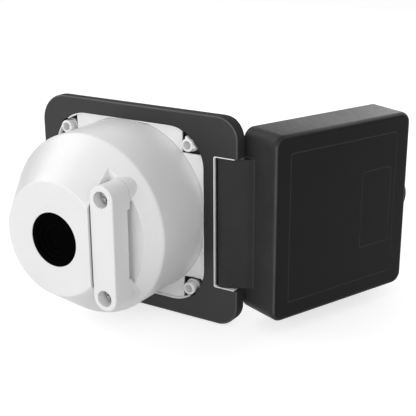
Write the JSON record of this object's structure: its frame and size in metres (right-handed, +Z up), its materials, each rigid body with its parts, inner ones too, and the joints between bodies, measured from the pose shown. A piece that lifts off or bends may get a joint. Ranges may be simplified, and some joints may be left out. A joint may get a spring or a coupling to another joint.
{
  "type": "caravan power inlet",
  "caption": "Flush-mounted caravan power inlet with a frame, a hinged box lid, a round pin socket and a tapered rear cover with a cable strain relief.",
  "frame": {"origin": "where the axis of the plug socket meets the back of the frame, which is the wall plane", "axes": "+Y into the wall, -Y out of it towards the plug, +Z up along the hinge pin, the hinge on the -X side"},
  "size_m": [0.1726, 0.1547, 0.108],
  "materials": {
    "black_plastic": "satin",
    "white_plastic": "satin",
    "grey_plastic": "satin",
    "black_rubber": "matte",
    "steel": "brushed",
    "contact_metal": "polished"
  },
  "bodies": {
    "inlet": {"frame": "black_plastic", "hinge_liner": "white_plastic", "hinge_pin": "steel", "body_gasket": "black_rubber", "inlet_body": "white_plastic", "contact_carrier": "grey_plastic", "pin_retainer": "grey_plastic", "retainer_screw": "steel", "carrier_screws": "steel", "terminal_screws": "steel", "pressure_plates": "steel", "cover_screws": "steel", "cover_seal": "black_rubber", "rear_cover": "white_plastic", "cable_grommet": "black_rubber", "clamp_bar": "white_plastic", "clamp_screws": "steel", "clamp_inserts": "contact_metal", "line_pin": "contact_metal", "neutral_pin": "contact_metal", "earth_pin": "contact_metal"},
    "lid": {"lid": "black_plastic", "lid_seal": "black_rubber"}
  },
  "joints": [
    {"name": "lid_hinge", "type": "hinge", "parent": "inlet", "child": "lid", "pos_m": [-0.0561, -0.0033, 0], "axis": [0, 0, 1], "range_deg": [-20, 111.8]}
  ]
}
